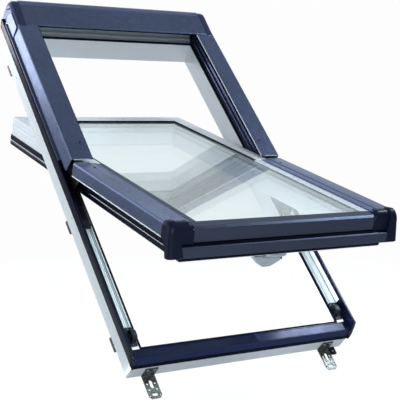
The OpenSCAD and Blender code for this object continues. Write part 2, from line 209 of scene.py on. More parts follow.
def profile(name, outline, a, b, place, end_a=0.4, end_b=0.4):
    """Closed outline carried from a to b. a and b may be functions of (u, v) for slanted ends."""
    if not callable(a):
        a = (lambda value: lambda u, v: value)(a)
    if not callable(b):
        b = (lambda value: lambda u, v: value)(b)
    rings = []
    for end, at, way in ((end_a, a, 1), (end_b, b, -1)):
        pairs = quarter(end) if end > 1 else [(end, 0), (0, end)]
        part = []
        for back, on in pairs:
            small = inset(outline, back)
            part.append([place(u, v, at(*outline[i]) + way * on) for i, (u, v) in enumerate(small)])
        rings += part if way > 0 else part[::-1]
    return rings_mesh(name, rings)


def ring_profile(name, outline, corners, place):
    """Outline of (outward, height) points carried round a closed rectangle, with mitred corners."""
    rings = []
    for cx, cy, sx, sy in corners:
        rings.append([place(cx + d * sx, cy + d * sy, h) for d, h in outline])
    return rings_mesh(name, rings, loop=True)


def rectangle(half, low, high):
    """Corners of a closed rectangle with the outward signs that ring_profile takes."""
    return [(-half, low, -1, -1), (half, low, 1, -1), (half, high, 1, 1), (-half, high, -1, 1)]


def run_profile(name, outline, path, place, flip=1):
    """Outline of (outward, height) points carried along an open path, with mitred corners."""
    rings = []
    last = len(path) - 1
    for i, p in enumerate(path):
        here = Vector(p)
        dirs = []
        if i > 0:
            dirs.append((here - Vector(path[i - 1])).normalized())
        if i < last:
            dirs.append((Vector(path[i + 1]) - here).normalized())
        normals = [Vector((-d.y, d.x)) * flip for d in dirs]
        out = normals[0]
        if len(normals) == 2:
            out = (normals[0] + normals[1]) / (1 + normals[0].dot(normals[1]))
        rings.append([place(here.x + out.x * d, here.y + out.y * d, h) for d, h in outline])
    return rings_mesh(name, rings)


def plate(name, outline, holes, thick, place, bevel=0.3):
    """Flat plate with through holes; place takes (u, v, height from 0 to thick)."""
    curve = bpy.data.curves.new(name, "CURVE")
    curve.dimensions = "2D"
    curve.fill_mode = "BOTH"
    curve.extrude = thick / 2 - bevel
    curve.bevel_depth = bevel
    curve.bevel_resolution = 1
    curve.offset = -bevel
    for loop in [outline] + list(holes):
        spline = curve.splines.new("POLY")
        spline.points.add(len(loop) - 1)
        spline.use_cyclic_u = True
        for point, (u, v) in zip(spline.points, loop):
            point.co = (u, v, 0, 1)
    holder = bpy.data.objects.new(name + "_curve", curve)
    bpy.context.scene.collection.objects.link(holder)
    bpy.context.view_layer.update()
    mesh = bpy.data.meshes.new_from_object(holder.evaluated_get(bpy.context.evaluated_depsgraph_get()))
    verts = [place(v.co.x, v.co.y, v.co.z + thick / 2) for v in mesh.vertices]
    faces = [tuple(p.vertices) for p in mesh.polygons]
    bpy.data.objects.remove(holder)
    bpy.data.curves.remove(curve)
    bpy.data.meshes.remove(mesh)
    return mesh_object(name, verts, faces)


def lathe(name, line, centre, axis, steps=28, star=None):
    """(radius, height) line turned about axis through centre, in mm from it."""
    axis = axis.normalized()
    side = axis.orthogonal().normalized()
    other = axis.cross(side)
    rings = []
    for r, h in line:
        ring = []
        for k in range(steps):
            a = 2 * math.pi * k / steps
            rr = r
            if star and r in star:
                rr = r * (1 + 0.16 * math.cos(6 * a))
            ring.append(centre + (side * math.cos(a) + other * math.sin(a)) * rr * MM + axis * h * MM)
        rings.append(ring)
    return rings_mesh(name, rings)


def join(name, objects):
    """One object from several, with coincident points merged."""
    verts, faces = [], []
    for o in objects:
        base = len(verts)
        verts += [v.co.copy() for v in o.data.vertices]
        faces += [tuple(base + i for i in p.vertices) for p in o.data.polygons]
        bpy.data.objects.remove(o)
    return mesh_object(name, verts, faces, weld=1e-9)


def cut(obj, cutters):
    """Takes the cutters' shapes out of obj."""
    tool = join(obj.name + "_cutter", cutters)
    mod = obj.modifiers.new("Cut", "BOOLEAN")
    mod.operation = "DIFFERENCE"
    mod.solver = "EXACT"
    mod.object = tool
    bpy.context.view_layer.update()
    mesh = bpy.data.meshes.new_from_object(obj.evaluated_get(bpy.context.evaluated_depsgraph_get()))
    obj.modifiers.remove(mod)
    old = obj.data
    obj.data = mesh
    bpy.data.meshes.remove(old)
    bpy.data.objects.remove(tool)
    return obj


def settle(obj, body, slot, material, *nodes):
    """Shades a finished piece, gives it its material and fixes it to its body."""
    shade(obj)
    obj.data.materials.clear()
    obj.data.materials.append(material)
    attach(obj, body)
    if nodes:
        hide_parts(*nodes)
    return obj


# ---- materials

def add(tree, kind):
    return tree.nodes.new("ShaderNode" + kind)


def put(node, **values):
    """Sets the inputs of a node, named with _ for each space."""
    for key, value in values.items():
        node.inputs[key.replace("_", " ")].default_value = value


def start_material(name):
    material = bpy.data.materials.new(name)
    material.use_nodes = True
    tree = material.node_tree
    shader = tree.nodes["Principled BSDF"]
    coords = add(tree, "TexCoord")
    return material, tree, shader, coords


def noise(tree, coords, scale, detail=2.0, rough=0.5, stretch=None):
    node = add(tree, "TexNoise")
    put(node, Scale=scale, Detail=detail, Roughness=rough)
    if stretch:
        mapping = add(tree, "Mapping")
        put(mapping, Scale=stretch)
        tree.links.new(coords.outputs["Object"], mapping.inputs["Vector"])
        tree.links.new(mapping.outputs["Vector"], node.inputs["Vector"])
    else:
        tree.links.new(coords.outputs["Object"], node.inputs["Vector"])
    return node


def ramp(tree, source, low, high, start=0.3, stop=0.7):
    """Colours or greys between low and high, driven by a 0 to 1 source."""
    node = add(tree, "ValToRGB")
    for element, place, value in zip(node.color_ramp.elements, (start, stop), (low, high)):
        element.position = place
        element.color = (value if isinstance(value, tuple) else (value,) * 3) + (1,)
    tree.links.new(source, node.inputs["Fac"])
    return node


def bump(tree, shader, sources, distance=0.0004):
    """Bumps from (height output, strength) pairs, one on top of the other."""
    before = None
    for height, strength in sources:
        node = add(tree, "Bump")
        put(node, Strength=strength, Distance=distance)
        tree.links.new(height, node.inputs["Height"])
        if before:
            tree.links.new(before.outputs["Normal"], node.inputs["Normal"])
        before = node
    tree.links.new(before.outputs["Normal"], shader.inputs["Normal"])


def drive(tree, shader, socket, source, low, high, start=0.3, stop=0.7):
    """Runs a socket of the shader from low to high with a 0 to 1 source."""
    tree.links.new(ramp(tree, source, low, high, start, stop).outputs["Color"], shader.inputs[socket])


def shades(colour, spread):
    return (tuple(max(0, c * (1 - spread)) for c in colour), tuple(min(1, c * (1 + spread)) for c in colour))


def coated(name, colour, rough=0.30, metallic=0.0, grain=0.10, coat=0.0, spread=0.06, spec=0.5):
    """Powder-coated aluminium: fine orange peel, slight cloudiness, uneven gloss."""
    material, tree, shader, coords = start_material(name)
    cloud = noise(tree, coords, 6.0, 3.0)
    fine = noise(tree, coords, 850.0, 2.0)
    peel = noise(tree, coords, 260.0, 1.0)
    patches = noise(tree, coords, 38.0, 4.0)
    drive(tree, shader, "Base Color", cloud.outputs["Fac"], *shades(colour, spread))
    drive(tree, shader, "Roughness", patches.outputs["Fac"], rough - 0.04, rough + 0.05)
    put(shader, Metallic=metallic, Specular_IOR_Level=spec, Coat_Weight=coat, Coat_Roughness=0.18)
    bump(tree, shader, [(peel.outputs["Fac"], grain * 0.4), (fine.outputs["Fac"], grain)], 0.00015)
    return material


def plastic(name, colour, rough=0.35, grain=0.12, grain_scale=700.0, spread=0.05, spec=0.5):
    """Moulded or extruded plastic: fine grain, slight unevenness of colour and gloss."""
    material, tree, shader, coords = start_material(name)
    cloud = noise(tree, coords, 9.0, 3.0)
    fine = noise(tree, coords, grain_scale, 3.0)
    patches = noise(tree, coords, 55.0, 3.0)
    drive(tree, shader, "Base Color", cloud.outputs["Fac"], *shades(colour, spread))
    drive(tree, shader, "Roughness", patches.outputs["Fac"], rough - 0.05, rough + 0.07)
    put(shader, Specular_IOR_Level=spec)
    bump(tree, shader, [(fine.outputs["Fac"], grain)], 0.00015)
    return material


def metal(name, colour, rough=0.3, stretch=(900, 30, 30), grain=0.15, spread=0.10, spangle=0.0, shine=1.0):
    """Bare metal: drawn or brushed streaks along one axis, with an optional zinc spangle."""
    material, tree, shader, coords = start_material(name)
    streak = noise(tree, coords, 1.0, 3.0, stretch=stretch)
    result = ramp(tree, streak.outputs["Fac"], *shades(colour, spread)).outputs["Color"]
    gloss_source = streak.outputs["Fac"]
    if spangle:
        cells = add(tree, "TexVoronoi")
        put(cells, Scale=260.0)
        tree.links.new(coords.outputs["Object"], cells.inputs["Vector"])
        grey = add(tree, "RGBToBW")
        tree.links.new(cells.outputs["Color"], grey.inputs["Color"])
        flake = ramp(tree, grey.outputs["Val"], *shades(colour, spread + spangle), 0.1, 0.9)
        mix = add(tree, "Mix")
        mix.data_type = "RGBA"
        put(mix, Factor=0.6)
        tree.links.new(result, mix.inputs["A"])
        tree.links.new(flake.outputs["Color"], mix.inputs["B"])
        result = mix.outputs["Result"]
        gloss_source = grey.outputs["Val"]
    tree.links.new(result, shader.inputs["Base Color"])
    drive(tree, shader, "Roughness", gloss_source, rough - 0.07, rough + 0.10)
    put(shader, Metallic=shine)
    bump(tree, shader, [(streak.outputs["Fac"], grain)], 0.0002)
    return material


def mixed(tree, factor, first, second):
    """Shader that is first where factor is 0 and second where it is 1."""
    node = add(tree, "MixShader")
    for socket, source in zip(node.inputs, (factor, first, second)):
        tree.links.new(source, socket)
    return node.outputs["Shader"]


def glass(name, tint):
    """Clear float glass that lets lamps through, with a faint film of dust on it."""
    material, tree, shader, coords = start_material(name)
    film = noise(tree, coords, 5.0, 4.0)
    drive(tree, shader, "Roughness", film.outputs["Fac"], 0.0, 0.035, 0.35, 0.8)
    wave = noise(tree, coords, 2.2, 1.0)
    bump(tree, shader, [(wave.outputs["Fac"], 0.05)], 0.002)
    put(shader, Base_Color=tint + (1,), Transmission_Weight=1.0, IOR=1.5)
    lamp = add(tree, "LightPath")
    clear = add(tree, "BsdfTransparent")
    put(clear, Color=tint + (1,))
    result = mixed(tree, lamp.outputs["Is Shadow Ray"], shader.outputs["BSDF"], clear.outputs["BSDF"])
    tree.links.new(result, tree.nodes["Material Output"].inputs["Surface"])
    return material


M_COVER = coated("cover_coat", (0.165, 0.210, 0.370), 0.29, 0.80, coat=0.10, grain=0.05)
M_CLADDING = coated("cladding_coat", (0.005, 0.008, 0.024), 0.20, 0.30, grain=0.05, spec=0.12)
M_CAP = plastic("cap_plastic", (0.008, 0.012, 0.034), 0.36, 0.14, 600.0, spec=0.16)
M_BLACK = plastic("black_plastic", (0.005, 0.006, 0.012), 0.42, 0.18, 500.0, spec=0.3)
M_RUBBER = plastic("seal_rubber", (0.002, 0.003, 0.010), 0.50, 0.20, 420.0, spec=0.06)
M_GASKET = plastic("glazing_rubber", (0.003, 0.008, 0.020), 0.50, 0.20, 420.0, spec=0.12)
M_PVC = plastic("white_pvc", (0.80, 0.835, 0.875), 0.34, 0.05, 900.0, spread=0.012)
M_PVC_SASH = plastic("white_pvc_sash", (0.84, 0.885, 0.935), 0.30, 0.05, 900.0, spread=0.012)
M_TRIM = plastic("light_trim", (0.66, 0.72, 0.78), 0.26, 0.06, 900.0, spread=0.02)
M_SILVER = metal("rail_aluminium", (0.84, 0.90, 0.91), 0.40, (400, 25, 25), shine=0.12)
# partly painted shade: the ledge's aluminium is made darker than the rails' for the shade under the hood
M_LEDGE_PAINTED_SHADE = metal("ledge_aluminium_painted_shade", (0.40, 0.45, 0.49), 0.38, (18, 420, 420), shine=0.5)
M_ZINC = metal("bracket_zinc", (0.17, 0.18, 0.175), 0.34, (300, 120, 120), spangle=0.30, shine=0.85)
M_STEEL = metal("hinge_steel", (0.10, 0.105, 0.12), 0.35, (60, 300, 300))
M_BOLT = metal("bolt_steel", (0.45, 0.46, 0.48), 0.28, (60, 300, 300))
M_HANDLE = metal("handle_aluminium", (0.62, 0.69, 0.74), 0.34, (35, 380, 380), grain=0.08, shine=0.55)
M_SPACER = metal("spacer_aluminium", (0.50, 0.54, 0.56), 0.32, (40, 300, 300))
M_GLASS = glass("pane_glass", (0.968, 0.993, 0.996))

M_CAP_HOOD = coated("hood_cap_coat", (0.075, 0.092, 0.200), 0.32, 0.75, coat=0.10)
# painted shade: a dark copy of the pale bead trim, for the left bead
M_BEAD_PAINTED_SHADE = plastic("bead_painted_shade", (0.055, 0.075, 0.12), 0.40, 0.06, 900.0, spec=0.15)
# painted shade: dark strips laid in the rails' grooves stand for the shadow inside them
M_GROOVE_SHADE = plastic("rail_groove_painted_shade", (0.10, 0.115, 0.125), 0.45, 0.15, 500.0)
# painted shade: a darker copy of the cover coat, for the bottom covers
M_LOW_COVER_PAINTED_SHADE = coated("low_cover_painted_shade", (0.075, 0.092, 0.150), 0.34, 0.80, coat=0.10, grain=0.05)
M_CARRIER = coated("carrier_coat", (0.080, 0.095, 0.190), 0.30, 0.80, coat=0.15)

SIDES = ((-1, "left"), (1, "right"))

# ---- white frame

FRAME_HALF, OPEN_HALF = 390.0, 357.0
FRAME_L, RAIL_W, FRAME_H = 1400.0, 46.5, 78.0
SEAT = 78.1  # just above the outer face of the white frame
PILOT_R = 2.6
MITRE = RAIL_W / (FRAME_HALF - OPEN_HALF)
HOLE_S = (83, 109, 200, 207, 562, 832, 1198, 1308)
HOLE_N = (14, 22, 17, 29, 35, 36, 24, 28)


def front_slope(n):
    """Lower end of the frame, sloped above n = 54 under the bottom cladding."""
    return max(0.0, (n - 54) * 16.5 / 24 - 1)


def jamb_low(x, n):
    return max(front_slope(n), (FRAME_HALF - x) * MITRE)


def jamb_high(x, n):
    return FRAME_L - (FRAME_HALF - x) * MITRE


JAMB = rounded([(OPEN_HALF, 0, 1.2), (FRAME_HALF, 0, 1.5), (FRAME_HALF, 52), (FRAME_HALF, 55),
                (FRAME_HALF, FRAME_H, 1.0), (OPEN_HALF, FRAME_H, 1.0)])
for side, word in SIDES:
    jamb = profile("frame_jamb_" + word, JAMB, jamb_low, jamb_high, along(roof, side), 0.35, 0.35)
    drills = []
    for s, n in zip(HOLE_S, HOLE_N):
        ring = circle(s, n, PILOT_R, 16)
        drills.append(rings_mesh("drill", [[roof(side * x, u, v) for u, v in ring] for x in (376, 392)]))
    cut(jamb, drills)
    settle(jamb, "frame", "white_pvc", M_PVC, "frame_%s_jamb" % word)

low_rail = profile(
    "frame_rail_low",
    rounded([(0, 0, 1.5), (RAIL_W, 0, 1.2), (RAIL_W, FRAME_H, 1.0), (15.6, FRAME_H, 0.4), (0, 55.3, 0.4)]),
    lambda s, n: -FRAME_HALF + s / MITRE, lambda s, n: FRAME_HALF - s / MITRE, across(roof), 0.35, 0.35)
settle(low_rail, "frame", "white_pvc", M_PVC, "frame_bottom_rail")
top_rail = profile(
    "frame_rail_top",
    rounded([(FRAME_L - RAIL_W, 0, 1.2), (FRAME_L, 0, 1.5), (FRAME_L, FRAME_H, 1.0),
             (FRAME_L - RAIL_W, FRAME_H, 1.0)]),
    lambda s, n: -FRAME_HALF + (FRAME_L - s) / MITRE, lambda s, n: FRAME_HALF - (FRAME_L - s) / MITRE,
    across(roof), 0.35, 0.35)
REVEAL = rounded([(1337.1, 0.1, 0.6), (1353.7, 76.0), (1353.7, 0.1)])
reveal = profile("frame_reveal_top", REVEAL, -356.8, 356.8, across(roof), 0.3, 0.3)
settle(join("frame_rail_top_sloped", [top_rail, reveal]), "frame", "white_pvc", M_PVC, "frame_top_rail")

GASKET = rounded([(-1.6, 74.5, 0.4), (-0.1, 74.5, 0.2), (0.2, SEAT), (2.2, SEAT), (2.4, 79.5, 0.5),
                  (1.6, 80.2, 0.4), (1.6, 83.6, 0.8), (-1.2, 84.0, 0.8), (-2.4, 80.5, 0.8)])
gasket = ring_profile("frame_gasket_lip", GASKET, rectangle(OPEN_HALF, RAIL_W, FRAME_L - RAIL_W), roof)
settle(gasket, "frame", "black_rubber", M_RUBBER, "frame_gasket")

# ---- cladding of the frame

CLADDING = rounded([(390.2, 54, 0.4), (394, 54, 1.5), (403.4, 69.5, 5), (405.6, 84.5, 0.5),
                    (406.8, 85.4, 0.5), (408.8, 104.5, 1.6), (406.4, 108, 1.0), (401, 108, 0.8),
                    (399, 106.4, 0.8), (399, 78.2), (390.2, 78.2)])


def cladding_low(shift):
    return lambda x, n: -11.9 + shift + (n - 40) * 40 / 78


for side, word in SIDES:
    clad = profile("cladding_" + word, CLADDING, cladding_low(3), FRAME_L + 5, along(roof, side), 0.5, 0.5)
    settle(clad, "frame", "dark_aluminium", M_CLADDING, "side_cladding_" + word)
    plug_line = inset(CLADDING, -0.5)
    low = profile("plug_low", plug_line, cladding_low(-0.8), cladding_low(2.8), along(roof, side), 1.1, 0.2)
    top = profile("plug_top", plug_line, FRAME_L + 5.2, FRAME_L + 9.4, along(roof, side), 0.2, 1.1)
    plugs = join("plugs_" + word, [low, top])
    settle(plugs, "frame", "black_plastic", M_BLACK, "cladding_plugs_" + word)

front = profile(
    "cladding_front",
    rounded([(0, 52.7, 0.3), (-4, 52.7, 0.9), (12.4, 77.2, 1.2), (12.9, 80.6, 0.9), (16.2, 80.6, 0.9),
             (17.0, 79.9, 0.4), (40.0, 79.9, 0.5), (41.5, 80.6, 0.4), (44, 80.6, 0.8), (44, SEAT),
             (15.4, SEAT), (0.2, 56)]),
    -389.6, 389.6, across(roof), 0.5, 0.5)
settle(front, "frame", "dark_aluminium", M_CLADDING, "bottom_cladding")

ledge = profile(
    "top_ledge_steps",
    rounded([(1355.7, SEAT), (1355.7, 85, 1.2), (1361, 85, 0.4), (1361.6, 84.2, 0.3), (1363, 84.2, 0.3),
             (1363.6, 85, 0.3), (1366, 85, 0.6), (1366, 93, 1.2), (1379, 93, 0.6), (1379, 104, 1.2),
             (1398, 104, 1.2), (1398, SEAT)]),
    -356.6, 356.6, across(roof))
# the ledge takes the darker aluminium: painted shade under the hood
settle(ledge, "frame", "silver_aluminium", M_LEDGE_PAINTED_SHADE, "top_ledge")

RAIL = rounded([(359.6, SEAT), (359.6, 80, 0.5), (363.4, 80, 0.3), (363.6, 84.3, 0.7), (365.9, 84.3, 0.7),
                (366.1, 80, 0.3), (368.2, 79.9, 0.2), (368.4, 78.9, 0.2), (373.8, 78.9, 0.2),
                (374, 79.9, 0.2), (376, 80, 0.3), (376.3, 84.3, 0.7), (378.6, 84.3, 0.7), (378.8, 80, 0.3),
                (396.2, 80, 0.8), (396.4, 97.6, 0.7), (398.6, 97.6, 0.7), (398.7, SEAT)])
for side, word in SIDES:
    rail = profile("rail_" + word, RAIL, 118.5, 488, along(roof, side))
    settle(rail, "frame", "silver_aluminium", M_SILVER, "ledge_rail_" + word)
    # thin dark strips in the grooves: painted shade for the shadow in the grooves
    groove_shades = []
    for x, n, wide in ((361.5, 79.9, 2.2), (366.9, 79.8, 1.7), (371.1, 78.8, 1.6), (395.0, 79.8, 2.4)):
        groove_shades.append(profile("groove_shade_strip", rounded([(x - wide / 2, n), (x - wide / 2, n + 0.9, 0.3),
                                                  (x + wide / 2, n + 0.9, 0.3), (x + wide / 2, n)]),
                               119, 487.5, along(roof, side)))
    settle(join("rail_groove_shades_" + word, groove_shades), "frame", "black_rubber", M_GROOVE_SHADE)


def screw(name, centre, axis, r, height):
    """Pan head with a six-lobed recess."""
    line = [(r * 0.96, 0), (r, height * 0.25), (r * 0.97, height * 0.6), (r * 0.78, height * 0.9),
            (r * 0.56, height), (r * 0.5, height * 0.97), (r * 0.46, height * 0.3), (0.02, height * 0.22)]
    return lathe(name, line, centre, axis, 24, star=(r * 0.5, r * 0.46))


OUT = (roof(0, 0, 1) - roof(0, 0, 0)).normalized()
UP = (roof(0, 1, 0) - roof(0, 0, 0)).normalized()
LEAF_OUT = (leaf(0, 0, 1) - leaf(0, 0, 0)).normalized()
LEAF_UP = (leaf(0, 1, 0) - leaf(0, 0, 0)).normalized()

END_BASE = rounded([(360.3, SEAT), (360.3, 85.6, 2.2), (364, 87, 1), (394, 87, 2.5), (396, 84, 1),
                    (396, SEAT)])
END_HUMP = rounded([(496, 86), (505, 92.8, 5), (552, 92.8, 6), (568, 86)])
END_TONGUE = rounded([(478, 84.9), (478, 87.2, 0.8), (494, 87.2, 0.8), (494, 84.9)])
HINGE_BED = rounded([(360.5, SEAT), (360.5, 80.4, 0.8), (396.4, 80.4, 0.8), (396.4, SEAT)])
KEEP_FOOT = rounded([(362, 54, 4), (388, 54, 4), (388, 118, 4), (362, 118, 4)])
KEEP_FOOT_HOLES = [slot_hole(372, 111.5, 10, 4.2), circle(374, 60.5, 2.2, 14), circle(383.5, 66.5, 1.5, 12)]
KEEP_BLOCK = rounded([(68, 81.5), (69, 95, 5), (76, 102, 6), (95, 102, 9), (104, 94, 5), (104, 81.5)])
KEEP_RIB = rounded([(70, 81.5), (74, 93, 4), (98, 93, 5), (102, 81.5)])
for side, word in SIDES:
    base = profile("rail_end_base", END_BASE, 488.8, 596, along(roof, side), 2.0, 2.0)
    hump = profile("rail_end_hump", END_HUMP, 368, 388, across(roof, side), 1.6, 1.6)
    tongue = profile("rail_end_tongue", END_TONGUE, 367, 389, across(roof, side), 0.6, 0.6)
    head = screw("rail_end_screw", roof(side * 378, 530, 92.4), OUT, 3.4, 1.6)
    bed = profile("hinge_bed_" + word, HINGE_BED, 596.4, 734.6, along(roof, side))
    settle(bed, "frame", "black_plastic", M_BLACK)
    moulding = join("rail_end_" + word + "_moulding", [base, hump, tongue, head])
    settle(moulding, "frame", "black_plastic", M_BLACK, "rail_end_" + word)

    foot = plate("keep_foot", KEEP_FOOT, KEEP_FOOT_HOLES, 4,
                 lambda u, v, h, k=side: roof(k * u, v, FRAME_H + 0.1 + h), 0.5)
    block = plate("keep_block", KEEP_BLOCK, [circle(85.4, 89, 6.5, 24)], 16,
                  lambda u, v, h, k=side: roof(k * (363.5 + h), u, v), 0.9)
    rib = plate("keep_rib", KEEP_RIB, [], 3, lambda u, v, h, k=side: roof(k * (384 + h), u, v - 4), 0.6)
    settle(join("keep_" + word, [foot, block, rib]), "frame", "black_plastic", M_BLACK, "lock_keep_" + word)

# ---- covers over the upper half

COVER_END, HOOD_S = 682.0, 1305.0
STEPS_UP = [(377, 128, 1.8), (377, 112, 0.5), (370, 112, 1.8), (370, 98, 0.5), (364, 98, 1.8), (364, 86, 0.5),
            (360.5, 86, 1.5), (360.5, SEAT)]
FLANK = [(398, SEAT), (398, 108.6, 0.5), (406, 108.6, 0.6), (406, 113, 1.5), (396, 119, 1.5)]
CARRIER = rounded(FLANK + [(394.5, 150, 1), (384, 150, 1.8), (384, 128, 0.5)] + STEPS_UP)
CARRIER_END = rounded(FLANK + STEPS_UP[1:])
SIDE_COVER = rounded([(397, 121), (395, 172, 5), (390, 175, 1), (336, 175, 0.8), (335, 173.4, 0.4),
                      (326, 173.4, 0.3), (326, 171.9, 0.4), (324, 171.9, 0.6), (324, 175.6, 0.9),
                      (333.2, 175.6, 0.5), (334.6, 177, 0.7), (397, 177, 7), (399, 121.2),
                      (398.6, 120.6, 0.3)])
EDGE_LIP = rounded([(323.8, 172), (323.8, 175.2, 0.4), (322.2, 175.4, 0.7), (321.6, 173.4, 0.7),
                    (322.3, 171.8, 0.5)])
CORNER_BLOCK = rounded([(357.2, SEAT), (357.2, 117, 1.5), (377, 117, 1.5), (377, SEAT)])
COVER_FOOT = rounded([(337, 173.8, 0.5), (337, 176.9, 0.5), (389, 176.9, 0.8), (389, 173.8, 0.5)])
for side, word in SIDES:
    strip = profile("carrier_" + word, CARRIER, 735, HOOD_S - 2, along(roof, side))
    upper = profile("carrier_end", CARRIER_END, HOOD_S - 2.2, 1374, along(roof, side))
    carrier = join("carrier_strips_" + word, [strip, upper])
    settle(carrier, "frame", "black_plastic", M_CARRIER, "cover_carrier_" + word)
    cover = profile("cover_" + word, SIDE_COVER, COVER_END, HOOD_S - 1, along(roof, side), 0.3, 0.3)
    settle(cover, "frame", "dark_aluminium", M_COVER, "side_cover_" + word)
    lip = profile("cover_lip_" + word, EDGE_LIP, COVER_END + 2, HOOD_S - 2, along(roof, side))
    # the right lip takes the pale trim colour: painted highlight where it catches the light from the left;
    # the left lip is black rubber
    settle(lip, "frame", "black_rubber", M_TRIM if side > 0 else M_RUBBER)
for side, word in SIDES:
    block = profile("corner_block_" + word, CORNER_BLOCK, 1374.2, 1399, along(roof, side), 0.8, 0.8)
    settle(block, "frame", "black_rubber", M_RUBBER)
    edge = profile("cover_foot_" + word, COVER_FOOT, 680.0, 681.9, along(roof, side), 0.3, 0.1)
    settle(edge, "frame", "light_trim", M_TRIM)
heads = [screw("cover_screw", roof(side * 345, 752, 177.0), OUT, 4.0, 1.5) for side, word in SIDES]
settle(join("cover_screws", heads), "frame", "black_plastic", M_BLACK, "frame_cover_screws")

HOOD_OUT = [(1305, 172.8, 0.8), (1305, 176.6, 2.2), (1310, 177.9), (1400, 184.5, 8), (1434, 181.5, 27),
            (1434, 103, 9), (1406, 101.2, 0.6)]
HOOD_IN = [(1406, 103.2, 0.5), (1431.8, 104.8, 7), (1431.8, 179.4, 25), (1400, 182.3, 6), (1310, 175.7),
           (1307.2, 175.2, 1.0), (1307.2, 172.8, 0.5)]
hood = profile("hood", rounded(HOOD_OUT + HOOD_IN), -366.8, 366.8, across(roof), 0.3, 0.3)
FOLD = rounded([(1318.1, 155, 0.6), (1318.1, 176.6), (1319.9, 176.6), (1319.9, 155, 0.6)])
flange = profile("hood_flange", FOLD, -366.7, 366.7, across(roof))
settle(hood, "frame", "dark_aluminium", M_COVER, "hood_cover")
settle(flange, "frame", "dark_aluminium", M_CLADDING)


def arc_points(cu, cv, ru, rv, start, stop, steps):
    """Part of an ellipse, from start to stop degrees."""
    angles = [math.radians(start + (stop - start) * k / steps) for k in range(steps + 1)]
    return [(cu + ru * math.cos(a), cv + rv * math.sin(a)) for a in angles]


def swell(x0, x1, radius, steps=7):
    """(x, inset) stations from x0 to x1 whose last radius millimetres are rounded off."""
    way = 1 if x1 > x0 else -1
    out = [(x0, 0.5), (x0 + way * 0.5, 0.0)]
    for k in range(steps + 1):
        a = math.pi / 2 * k / steps
        out.append((x1 - way * radius * (1 - math.sin(a)), radius * (1 - math.cos(a))))
    return out


def hood_cap_line(d):
    """(s, n) outline of the hood's end cap, drawn in by d at the top and the upper end."""
    top, end = 186.2 - d, 1436 - d
    line = [(1294.5 + 0.2 * d, 160 - d * 0.4)] + arc_points(1300 + 0.2 * d, 178 - d - 5, 5.5, 5.5, 180, 95, 4)
    line += [(1396, top - 0.6)] + arc_points(end - 33, top - 36, 33, 36, 88, 0, 9)
    line += arc_points(end - 9, 110.5, 9, 9, 0, -90, 4)
    return line + [(1404, 99.4), (1393, 105), (1377, 120.8), (1305.5, 120.8), (1305.5, 150)]


BAND = rounded([(1297, 120.5, 2), (1297, 167.5, 6), (1369, 169.5, 2), (1384.5, 151, 10), (1385, 118, 2),
                (1377, 120.5, 2)])
for side, word in SIDES:
    rings = [[roof(side * x, u, v) for u, v in hood_cap_line(d)] for x, d in swell(367, 400.0, 17)]
    cap = rings_mesh("hood_end_" + word, rings)
    settle(cap, "frame", "dark_plastic", M_CAP_HOOD, "hood_cap_" + word)
    seam = profile("hood_seam_" + word, inset(BAND, -1.6), 399.9, 400.5, across(roof, side), 0.1, 0.2)
    settle(seam, "frame", "black_rubber", M_RUBBER)
    band = profile("hood_band_" + word, BAND, 400.3, 401.8, across(roof, side), 0.2, 0.6)
    settle(band, "frame", "dark_aluminium", M_COVER)

# ---- brackets and clips

BRACKET_X, BRACKET_T, BEND_HALF = 321.0, 2.5, 21.4
LEG = rounded([(-21.5, 0), (21.5, 0), (21.5, -69, 3), (13.5, -77, 3), (-13.5, -77, 3), (-21.5, -69, 3)])
LEG_HOLES = [[(u, v) for v, u in slot_hole(-31, 0, 26, 10)], circle(-12.5, -29, 3, 16),
             circle(12.5, -29, 3, 16), circle(-12.5, -48, 3, 16), circle(12.5, -48, 3, 16),
             slot_hole(0, -64.5, 18, 9), circle(-16.5, -68, 2.4, 14), circle(16.5, -68, 2.4, 14)]
FLANGE = rounded([(-21.5, 0), (21.5, 0), (21.5, 42, 4), (-21.5, 42, 4)])
FLANGE_HOLES = [circle(-12, 14, 2.4, 14), circle(12, 14, 2.4, 14), circle(-12, 32, 2.3, 14),
                circle(12, 32, 2.3, 14), rounded([(-5, 8, 1.5), (1, 8, 1.5), (5, 24, 1.5), (-1, 24, 1.5)])]
BEND = rounded([(-0.1, 0.1), (-0.1, 4, 0.4), (-2.5, 4, 0.6), (-2.9, 2.9, 1.2), (-5, 2.5, 0.6), (-5, 0, 0.4)])
EDGE_BEADS = [rounded([(u - 1.3, 2.4), (u - 0.7, 3.4, 0.6), (u + 0.7, 3.4, 0.6), (u + 1.3, 2.4)])
              for u in (-19.2, 19.2)]
for side, word in SIDES:
    leg = plate("leg", LEG, LEG_HOLES, BRACKET_T, lambda u, v, h, k=side: roof(k * BRACKET_X + u, v, h), 0.35)
    flange = plate("flange", FLANGE, FLANGE_HOLES, BRACKET_T,
                   lambda u, v, h, k=side: roof(k * BRACKET_X + u, -0.05 - h, v), 0.35)
    bend = profile("bend", BEND, side * BRACKET_X - BEND_HALF, side * BRACKET_X + BEND_HALF,
                   across(roof), 0.2, 0.2)
    beads = [profile("bead", line, -66, -6, lambda a, b, w, k=side: roof(k * BRACKET_X + a, w, b), 1.0, 1.0)
             for line in EDGE_BEADS]
    settle(join("bracket_" + word, [leg, flange, bend] + beads), "frame", "zinc_steel", M_ZINC,
           "roof_bracket_" + word)

heads = [screw("bracket_screw", roof(side * BRACKET_X + x, -2.5, 32), -UP, 4.4, 2.8)
         for side, word in SIDES for x in (-12, 12)]
settle(join("bracket_screw_heads", heads), "frame", "hinge_steel", M_BOLT, "bracket_screws")

